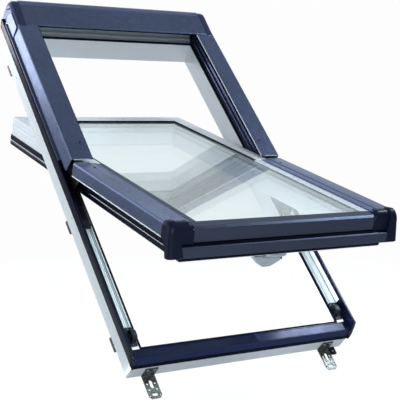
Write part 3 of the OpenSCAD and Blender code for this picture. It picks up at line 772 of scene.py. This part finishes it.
TAB = rounded([(343, -27, 4), (365.5, -27, 4), (365.5, -0.4, 1), (343, -0.4, 1)])
tab = plate("tab", TAB, [circle(356, -14, 3, 16)], 5, lambda u, v, h: roof(u, v, h), 0.7)
ridges = [rounded([(s, 4.8), (s, 6.0, 0.4), (s + 1.4, 6.0, 0.4), (s + 1.4, 4.8)])
          for s in [-24 + 3.2 * k for k in range(7)]]
grips = [profile("grip", line, 344.5, 351.5, across(roof), 0.4, 0.4) for line in ridges]
settle(join("bracket_tab_moulding", [tab] + grips), "frame", "black_plastic", M_BLACK, "bracket_tab")

CLIP = rounded([(368, -0.02), (368, -1.2, 0.3), (391, -1.2, 0.6), (390.9, -8.8, 0.3), (392, -9, 0.5),
                (392, -0.02, 0.8)])
CLIP_EAR = rounded([(388.3, -5.2, 0.4), (388.3, -8.8, 0.4), (391.5, -8.8), (391.5, -5.2)])
CLIP_S, CLIP_LENGTH = (93, 531, 1239), 48
clips = []
for side, word in SIDES:
    for s in CLIP_S:
        clips.append(profile("clip", CLIP, s, s + CLIP_LENGTH, along(roof, side)))
        clips.append(profile("clip_ear", CLIP_EAR, s + 3, s + 8, along(roof, side)))
settle(join("clips", clips), "frame", "zinc_steel", M_ZINC, "lining_clips")

# ---- sash frame

FACE = -120.0  # room side of the sash
PANE = -21.9  # just above the outer pane


def stile_top(x, m):
    return 573 + (x - 288) * 67 / 60


def stile_low(x, m):
    return -568 - (x - 288) * 32 / 60


def grooves(u, v0, step, direction):
    """Three shallow V grooves down a side face at u, from v0."""
    line = []
    for k in range(3):
        v = v0 + step * k
        line += [(u, v + 0.9, 0.3), (u - direction * 1.1, v, 0.2), (u, v - 0.9, 0.3)]
    return line


STILE = rounded([(346.4, -22, 0.4), (348, -23.6, 0.8)] + grooves(348, -34, -15, 1)
                + [(348, FACE, 1.5), (296, FACE, 2), (288, -112, 2), (288, -48, 1), (312, -48), (312, -22)])
for side, word in SIDES:
    stile = profile("stile_" + word, STILE, stile_low, stile_top, along(leaf, side), 0.3, 0.3)
    settle(stile, "sash", "white_pvc", M_PVC_SASH, "sash_%s_stile" % word)
SASH_TOP = rounded([(638.4, -22, 0.4), (640, -23.6, 0.8)] + grooves(640, -34, -15, 1)
                   + [(640, FACE, 1.5), (581, FACE, 2), (573, -112, 2), (573, -48, 1), (587, -48),
                      (587, -22)])
upper = profile("sash_rail_top", SASH_TOP, lambda t, m: -288 - (t - 573) * 60 / 67,
                lambda t, m: 288 + (t - 573) * 60 / 67, across(leaf), 0.3, 0.3)
settle(upper, "sash", "white_pvc", M_PVC_SASH, "sash_top_rail")
SASH_LOW = rounded([(-592, -28), (-600, -28, 1), (-600, FACE, 1.5), (-576, FACE, 2), (-568, -112, 2),
                    (-568, -48, 1), (-592, -48)])
lower = profile("sash_rail_low", SASH_LOW, lambda t, m: -288 + (t + 568) * 60 / 32,
                lambda t, m: 288 - (t + 568) * 60 / 32, across(leaf), 0.3, 0.3)
settle(lower, "sash", "white_pvc", M_PVC_SASH, "sash_bottom_rail")

CAP_POINTS = [(305, PANE), (346.6, PANE), (348, -19.8, 0.5), (348, -17.4, 0.8), (344.5, -15, 1.0),
              (333.4, -15, 0.3), (332.6, -15.9, 0.2), (331.8, -15, 0.3), (317.6, -15, 0.6),
              (315.4, -16.6, 0.6), (299, -16.6, 1.0), (295.2, -18.9, 0.6), (295.2, -19.8), (305, -19.8)]
CAP_SIDE = rounded(CAP_POINTS)


def cap_mitre(x, m=0):
    """Where the side cap's section at x meets the top cap, whose section is wider by 60 to 53."""
    return 580 + (x - 295) * 60 / 53


for side, word in SIDES:
    cap = profile("white_cap_" + word, CAP_SIDE, 6, cap_mitre, along(leaf, side), 0.3, 0.3)
    settle(cap, "sash", "white_caps", M_PVC_SASH, "upper_cap_" + word)
CAP_TOP = rounded([(cap_mitre(p[0]),) + p[1:] for p in CAP_POINTS])
cap = profile("white_cap_top", CAP_TOP, lambda t, m: -295 - (t - 580) * 53 / 60,
              lambda t, m: 295 + (t - 580) * 53 / 60, across(leaf), 0.3, 0.3)
settle(cap, "sash", "white_caps", M_PVC_SASH, "upper_cap_top")

BEAD = rounded([(288, -19.8), (288, -18.4, 0.7), (291, -17, 1.0), (302, -17, 0.4), (302.8, -17.9, 0.3),
                (303.6, -17, 0.4), (315.6, -17, 0.5), (315.6, -21.8), (305, -21.8), (305, -19.8)])
for side, word in SIDES:
    bead = profile("bead_" + word, BEAD, -572, 5.5, along(leaf, side))
    # the left bead takes the dark copy of its trim: painted shade
    settle(bead, "sash", "light_trim", M_TRIM if side > 0 else M_BEAD_PAINTED_SHADE, "glazing_bead_" + word)

WIPER = rounded([(0, PANE), (5.4, PANE), (5.4, -20.4, 0.4), (3.6, -20.2, 0.5), (0.6, -20.6, 0.5),
                 (0, -21.2, 0.3)])
wiper = ring_profile("glass_wiper", WIPER, rectangle(293.5, -573.5, 578.5), leaf)
RIM = rounded([(0.4, PANE, 0.3), (-2.4, PANE, 0.4), (-2.8, -17.0, 1.0), (-0.4, -15.8, 0.8),
               (1.6, -16.2, 0.4), (1.8, -18.8)])
rim = run_profile("glass_rim", RIM, [(-295, 6.5), (-295, 580), (295, 580), (295, 6.5)], leaf)
settle(join("glass_wipers", [wiper, rim]), "sash", "black_rubber", M_GASKET, "glazing_seal")

OUTER_SEAL = rounded([(0, -81.2), (2.0, -81.2, 0.6), (3.0, -83.6, 0.8), (2.0, -86, 0.5), (3.0, -89, 0.8),
                      (2.0, -91.5, 0.5), (3.0, -95, 0.9), (2.2, -99.8, 0.8), (0, -99.8)])
INNER_SEAL = rounded([(0, -103.2), (2.2, -103.2, 0.8), (3.0, -106, 0.9), (2.6, -112, 1), (3.0, -115, 0.8),
                      (1.6, -117.8, 0.8), (0, -117.8)])
SASH_HALF, SASH_HIGH, SASH_BOTTOM = 348.0, 640.0, -600.0
SEAL_RUNS = (
    ("top", [(-SASH_HALF, 48), (-SASH_HALF, SASH_HIGH), (SASH_HALF, SASH_HIGH), (SASH_HALF, 48)]),
    ("left", [(-SASH_HALF, -579.6), (-SASH_HALF, -48)]),
    ("right", [(SASH_HALF, -48), (SASH_HALF, -579.6)]),
    ("low", [(SASH_HALF, -594.4), (SASH_HALF, SASH_BOTTOM), (-SASH_HALF, SASH_BOTTOM), (-SASH_HALF, -594.4)]))
lengths = [run_profile("seal_" + word, OUTER_SEAL, path, leaf) for word, path in SEAL_RUNS]
settle(join("sash_seal_outer", lengths), "sash", "black_rubber", M_RUBBER, "sash_outer_seal")
inner = ring_profile("sash_seal_inner", INNER_SEAL, rectangle(SASH_HALF, SASH_BOTTOM, SASH_HIGH), leaf)
settle(inner, "sash", "black_rubber", M_CLADDING, "sash_inner_seal")

# ---- sash covers

SASH_COVER = rounded([(318, -17, 0.3), (318, -12.2, 0.8), (322.6, -12.2, 0.4), (323.4, -13.1, 0.3),
                      (325.0, -13.1, 0.3), (325.8, -12.2, 0.4), (339.6, -12.2, 0.9), (342.8, -9, 1.2),
                      (352.8, -9, 0.4), (353.5, -9.8, 0.3), (355.1, -9.8, 0.3), (355.8, -9, 0.4),
                      (397, -9, 8), (397, -52.6, 0.5), (395, -52.6, 0.5), (395, -13, 5), (390, -11.4, 1),
                      (344, -11.4, 1), (340.6, -14.6, 0.8), (320, -14.6, 0.5), (320, -17, 0.3)])
HEM = rounded([(394.9, -50.8), (394.9, -54.8, 0.5), (397.6, -54.8, 0.9), (398.0, -52.6, 0.8),
               (397.1, -50.8, 0.5)])
for side, word in SIDES:
    cover = profile("sash_cover_" + word + "_sheet", SASH_COVER, -584, -1.1, along(leaf, side), 0.3, 0.3)
    settle(cover, "sash", "dark_aluminium", M_COVER, "sash_cover_" + word)
    # a rounded hem along the cover's lower edge in the sash's white PVC; the white is partly painted
    # highlight along that edge
    hem = profile("sash_cover_hem_" + word, HEM, -583.5, -1.6, along(leaf, side))
    settle(hem, "sash", "light_trim", M_PVC_SASH)
heads = [screw("sash_screw", leaf(side * 352, -60, -9.0), LEAF_OUT, 4.0, 1.5) for side, word in SIDES]
settle(join("sash_screws", heads), "sash", "black_plastic", M_BLACK, "sash_cover_screws")
heads = [screw("sash_screw", leaf(side * 352, -540, -9.0), LEAF_OUT, 3.6, 0.8) for side, word in SIDES]
settle(join("sash_screws_low", heads), "sash", "black_plastic", M_COVER)


def seam_share(m):
    """How far up its slant the seam of a corner cap is at height m, from 0 to 1."""
    return min(1.0, max(0.0, (m + 101) / 97))


def low_reach(t, m):
    """Half length of the lower cover, whose ends follow the slanted seams of the corner caps."""
    return 351.6 + 20.4 * seam_share(m)


LOW_UPPER = rounded([(-573, -17.5, 0.3), (-572.6, -15.4, 0.8), (-596, -21.2, 1.5), (-603.4, -27.4, 2.2),
                     (-606.2, -64, 0.8), (-600.2, -64, 0.4), (-600.2, -62.2, 0.4), (-603.9, -62.2, 0.6),
                     (-601.4, -29.0, 1.6), (-595, -23.2, 1.2)])
LOW_LOWER = rounded([(-600.3, -72, 0.3), (-600.3, -70, 0.5), (-620.6, -70, 1.6), (-624.2, -73.4, 1.8),
                     (-627, -100, 0.8), (-612, -100, 0.4), (-612, -98.2, 0.4), (-624.9, -98.2, 0.6),
                     (-622.2, -74.4, 1.4), (-619.8, -72, 1.0)])
# the bottom covers take the darker copy of the cover coat: painted shade
cover = profile("low_cover_upper", LOW_UPPER, -313.6, 313.6, across(leaf), 0.3, 0.3)
settle(cover, "sash", "dark_aluminium", M_LOW_COVER_PAINTED_SHADE, "bottom_cover_upper")
cover = profile("low_cover_lower", LOW_LOWER, lambda t, m: -low_reach(t, m), low_reach,
                across(leaf), 0.3, 0.3)
settle(cover, "sash", "dark_aluminium", M_LOW_COVER_PAINTED_SHADE, "bottom_cover_lower")
LOW_GAP = rounded([(-600.1, -60, 0.4), (-603.6, -60.5, 0.5), (-604.2, -66, 0.8), (-619.6, -68.6, 0.5),
                   (-620.4, -69.9, 0.3), (-600.1, -69.9, 0.3)])
gap = profile("low_gap", LOW_GAP, lambda t, m: 0.6 - low_reach(t, m), lambda t, m: low_reach(t, m) - 0.6,
              across(leaf))
settle(gap, "sash", "black_rubber", M_RUBBER)


def corner_outer_line(d):
    """(t, m) outline of a corner cap's outer half, drawn in by d at the top and front."""
    back = 0.55 * d
    line = [(-606, -101), (-624 + back, -101.2), (-627.6 + back, -98.5), (-619 + back, -46 - 0.4 * d)]
    line += arc_points(-592 + back, -36 - d, 26, 33.4, 176, 92, 9)
    return line + [(-575, -5.5 - d), (-575, -53), (-590, -56), (-599, -76)]


def corner_inner_line(d):
    """(t, m) outline of a corner cap's inner half, drawn in by d at the top."""
    line = [(-574, -67.8), (-607.5, -68), (-608.8, -66.5), (-606.5, -46 - 0.3 * d)]
    line += arc_points(-587, -31 - d, 19, 22.5, 178, 92, 8)
    return line + [(-574, -9.2 - d)]


def slanted(x, m):
    return x + 21 * seam_share(m)


for side, word in SIDES:
    rings = []
    for k, (x, d) in enumerate(swell(352.2, 398.6, 16)):
        line = corner_outer_line(d)
        rings.append([leaf(side * (slanted(x, v) if k < 2 else x), u, v) for u, v in line])
    outer = rings_mesh("corner_outer", rings)
    rings = [[leaf(side * x, u, v) for u, v in corner_inner_line(d)] for x, d in swell(376, 313.6, 19)]
    inner = rings_mesh("corner_inner", rings)
    settle(join("corner_" + word, [outer, inner]), "sash", "dark_plastic", M_CAP, "corner_cap_" + word)

# ---- handle

HANDLE_T, GRIP_HALF = -587.0, 15


def oval(cx, cy, rx, ry, power=2.4, steps=28):
    out = []
    for k in range(steps):
        a = 2 * math.pi * k / steps
        c, s = math.cos(a), math.sin(a)
        out.append((cx + rx * math.copysign(abs(c) ** (2 / power), c),
                    cy + ry * math.copysign(abs(s) ** (2 / power), s)))
    return out


def loft(name, stations, place):
    """Skin over oval stations: (centre u, centre v, centre w, half u, half v)."""
    rings = []
    for cu, cv, w, ru, rv in stations:
        rings.append([place(u, v, w) for u, v in oval(cu, cv, ru, rv)])
    return rings_mesh(name, rings)


plate_rings = [(-23.5, HANDLE_T, FACE - d, 39.0 - i, 16.0 - i) for d, i in
               ((0.5, 0.3), (1.0, 0.0), (5.5, 0.0), (7.4, 0.8), (8.6, 2.4), (9.0, 5.0))]
rosette = loft("rosette", plate_rings, leaf)
GRIP = rounded([(2, -128.4, 3), (-22, -143.5, 14), (-46, -154.4, 9), (-72, -154.6, 7), (-106, -122.4, 2),
                (-98, -121.4, 2), (-66, -124, 4), (-56, -128.4, 2)])
grip = profile("grip", GRIP, HANDLE_T - GRIP_HALF, HANDLE_T + GRIP_HALF, along(leaf), 2.4, 2.4)
SCOOP = rounded([(-14, -132.5, 3), (-28, -140.5, 6), (-49, -149.4, 5), (-68, -149.4, 6), (-86, -132.5, 3)])
scoop = profile("scoop", SCOOP, HANDLE_T - 4, HANDLE_T + 16, along(leaf), 1.5, 0.2)
cut(grip, [scoop])
groove = loft("groove", [(-47, HANDLE_T - 15.1, -143, 21, 1.0), (-47, HANDLE_T - 15.1, -142, 22, 1.0)], leaf)
cut(grip, [groove])
dot = lathe("dot", [(2.6, 0), (2.5, 0.9), (1.9, 1.2), (0.02, 0.7)], leaf(-10, HANDLE_T - 14.6, -132.2),
            -LEAF_UP, 16)
settle(join("lever", [rosette, grip]), "handle", "handle_aluminium", M_HANDLE, "handle")
settle(dot, "handle", "handle_aluminium", M_BLACK)

# ---- carried-over nodes

KEPT = {"outer_pane": M_GLASS, "inner_pane": M_GLASS, "pane_spacer": M_SPACER,
        "hinge_track_left": M_STEEL, "hinge_track_right": M_STEEL, "hinge_tongue_left": M_STEEL,
        "hinge_tongue_right": M_STEEL, "lock_bolt_left": M_BOLT, "lock_bolt_right": M_BOLT,
        "lock_gearbox": M_BOLT}
for node, material in KEPT.items():
    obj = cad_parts[node]
    for i in range(max(1, len(obj.material_slots))):
        if obj.material_slots:
            obj.material_slots[i].material = material
    mod = obj.modifiers.new("Edges", "BEVEL")
    mod.width = 0.0003
    mod.segments = 2
    mod.limit_method = "ANGLE"
    mod.angle_limit = math.radians(50)

# ---- floor, light and camera

FLOOR_Z = -0.076
FLOOR_Y, FLOOR_R = 0.3, 2.6
floor_mesh = bpy.data.meshes.new("floor")
ring = [(x, y, FLOOR_Z) for x, y in circle(0, FLOOR_Y, FLOOR_R, 96)]
floor_mesh.from_pydata(ring, [], [tuple(range(len(ring)))])
floor = bpy.data.objects.new("floor", floor_mesh)
bpy.context.scene.collection.objects.link(floor)
M_FLOOR, tree, shader, coords = start_material("floor_paper")
paper = noise(tree, coords, 3.0)
drive(tree, shader, "Base Color", paper.outputs["Fac"], (0.42, 0.43, 0.44), (0.46, 0.47, 0.48))
put(shader, Roughness=0.95, Specular_IOR_Level=0.1)
pale = add(tree, "Emission")
put(pale, Color=(0.985, 0.985, 0.99, 1), Strength=0.955)
both = add(tree, "AddShader")
thin = add(tree, "BsdfDiffuse")
put(thin, Color=(0.09, 0.09, 0.09, 1))
tree.links.new(pale.outputs["Emission"], both.inputs[0])
tree.links.new(thin.outputs["BSDF"], both.inputs[1])
seen = add(tree, "LightPath")
result = mixed(tree, seen.outputs["Is Camera Ray"], shader.outputs["BSDF"], both.outputs["Shader"])
tree.links.new(result, tree.nodes["Material Output"].inputs["Surface"])
floor.data.materials.append(M_FLOOR)

scene = bpy.context.scene
world = bpy.data.worlds.new("studio")
scene.world = world
world.use_nodes = True
tree = world.node_tree
background = tree.nodes["Background"]
where = add(tree, "TexCoord")
split = add(tree, "SeparateXYZ")
tree.links.new(where.outputs["Generated"], split.inputs["Vector"])


def fade(source, at, level_at, to, level_to):
    """Level that runs from level_at to level_to while source runs from at to to."""
    node = add(tree, "MapRange")
    node.interpolation_type = "SMOOTHSTEP"
    for key, value in (("From Min", at), ("From Max", to), ("To Min", level_at), ("To Max", level_to)):
        node.inputs[key].default_value = value
    tree.links.new(source, node.inputs["Value"])
    return node.outputs["Result"]


def times(a, b):
    node = add(tree, "Math")
    node.operation = "MULTIPLY"
    tree.links.new(a, node.inputs[0])
    tree.links.new(b, node.inputs[1])
    return node.outputs["Value"]


overhead = fade(split.outputs["Z"], 0.55, 1.05, 0.88, 0.30)
below = fade(split.outputs["Z"], -0.30, 0.08, 0.62, 1.0)
front = fade(split.outputs["Y"], -0.25, 0.16, 0.25, 1.0)
right = fade(split.outputs["X"], 0.52, 1.0, 0.72, 0.45)
tree.links.new(times(times(times(overhead, front), right), below), background.inputs["Strength"])
put(background, Color=(0.88, 0.955, 1.0, 1))


def backdrop(colour, strength):
    node = add(tree, "Background")
    put(node, Color=colour + (1,), Strength=strength)
    return node.outputs["Background"]


# what lights the window, what is seen past it and what is seen through its glass
seen = add(tree, "LightPath")
result = mixed(tree, seen.outputs["Is Camera Ray"], background.outputs["Background"],
               backdrop((0.985, 0.985, 0.99), 1.0))
result = mixed(tree, seen.outputs["Is Transmission Ray"], result, backdrop((0.92, 0.99, 1.0), 0.90))
tree.links.new(result, tree.nodes["World Output"].inputs["Surface"])


def soft_light(name, position, target, width, height, power, colour=(1, 1, 1), hidden=False):
    lamp = bpy.data.lights.new(name, "AREA")
    lamp.shape = "RECTANGLE"
    lamp.size, lamp.size_y = width, height
    lamp.energy = power
    lamp.color = colour
    obj = bpy.data.objects.new(name, lamp)
    obj.location = position
    obj.rotation_euler = (Vector(target) - Vector(position)).to_track_quat("-Z", "Y").to_euler()
    obj.visible_camera = False
    if hidden:
        obj.visible_glossy = False
        obj.visible_transmission = False
    scene.collection.objects.link(obj)
    return obj


CENTRE = (0, 0.33, 0.5)
COOL = (0.92, 0.965, 1.0)
soft_light("left_wall", (-3.2, 0.3, 0.9), CENTRE, 2.6, 2.4, 27, COOL)
soft_light("front_fill", (-0.8, -3.4, 0.75), CENTRE, 2.6, 1.4, 52, COOL)
soft_light("band_glow", (-1.5, 3.6, 1.45), (-0.4, 0.9, 1.0), 1.3, 0.9, 13, (0.96, 0.97, 1.0))
soft_light("sheen", (1.75, -0.55, 1.95), (0.3, 0.0, 0.04), 0.35, 0.35, 22, (0.8, 0.9, 1.0))
soft_light("top_fill", (0.3, 0.2, 2.8), (0.0, 0.3, 0.5), 2.0, 2.0, 22, COOL, hidden=True)
soft_light("under_fill", (0.05, 0.05, -0.06), (0.05, 0.7, 0.75), 0.9, 0.6, 6.0, COOL, hidden=True)
soft_light("side_fill", (-1.6, 1.0, 1.25), (-0.39, 0.8, 0.85), 0.6, 0.6, 7, COOL, hidden=True)
soft_light("jamb_fill", (0.02, 0.05, 0.14), (0.36, 0.10, 0.14), 0.30, 0.16, 1.3, COOL, hidden=True)

CAMERA_AT, CAMERA_WAY = (-1.6822, -2.5035, 0.7093), (0.5248, 0.8478, -0.0768)
SENSOR, FOCAL_PER_WIDTH = 36.0, 996.7 / 400
camera_data = bpy.data.cameras.new("camera")
camera_data.sensor_width = SENSOR
camera_data.lens = SENSOR * FOCAL_PER_WIDTH
camera_data.clip_end = 60
camera = bpy.data.objects.new("camera", camera_data)
camera.location = CAMERA_AT
camera.rotation_euler = Vector(CAMERA_WAY).to_track_quat("-Z", "Y").to_euler()
scene.collection.objects.link(camera)
scene.camera = camera
scene.view_settings.view_transform = "Standard"
scene.view_settings.look = "None"
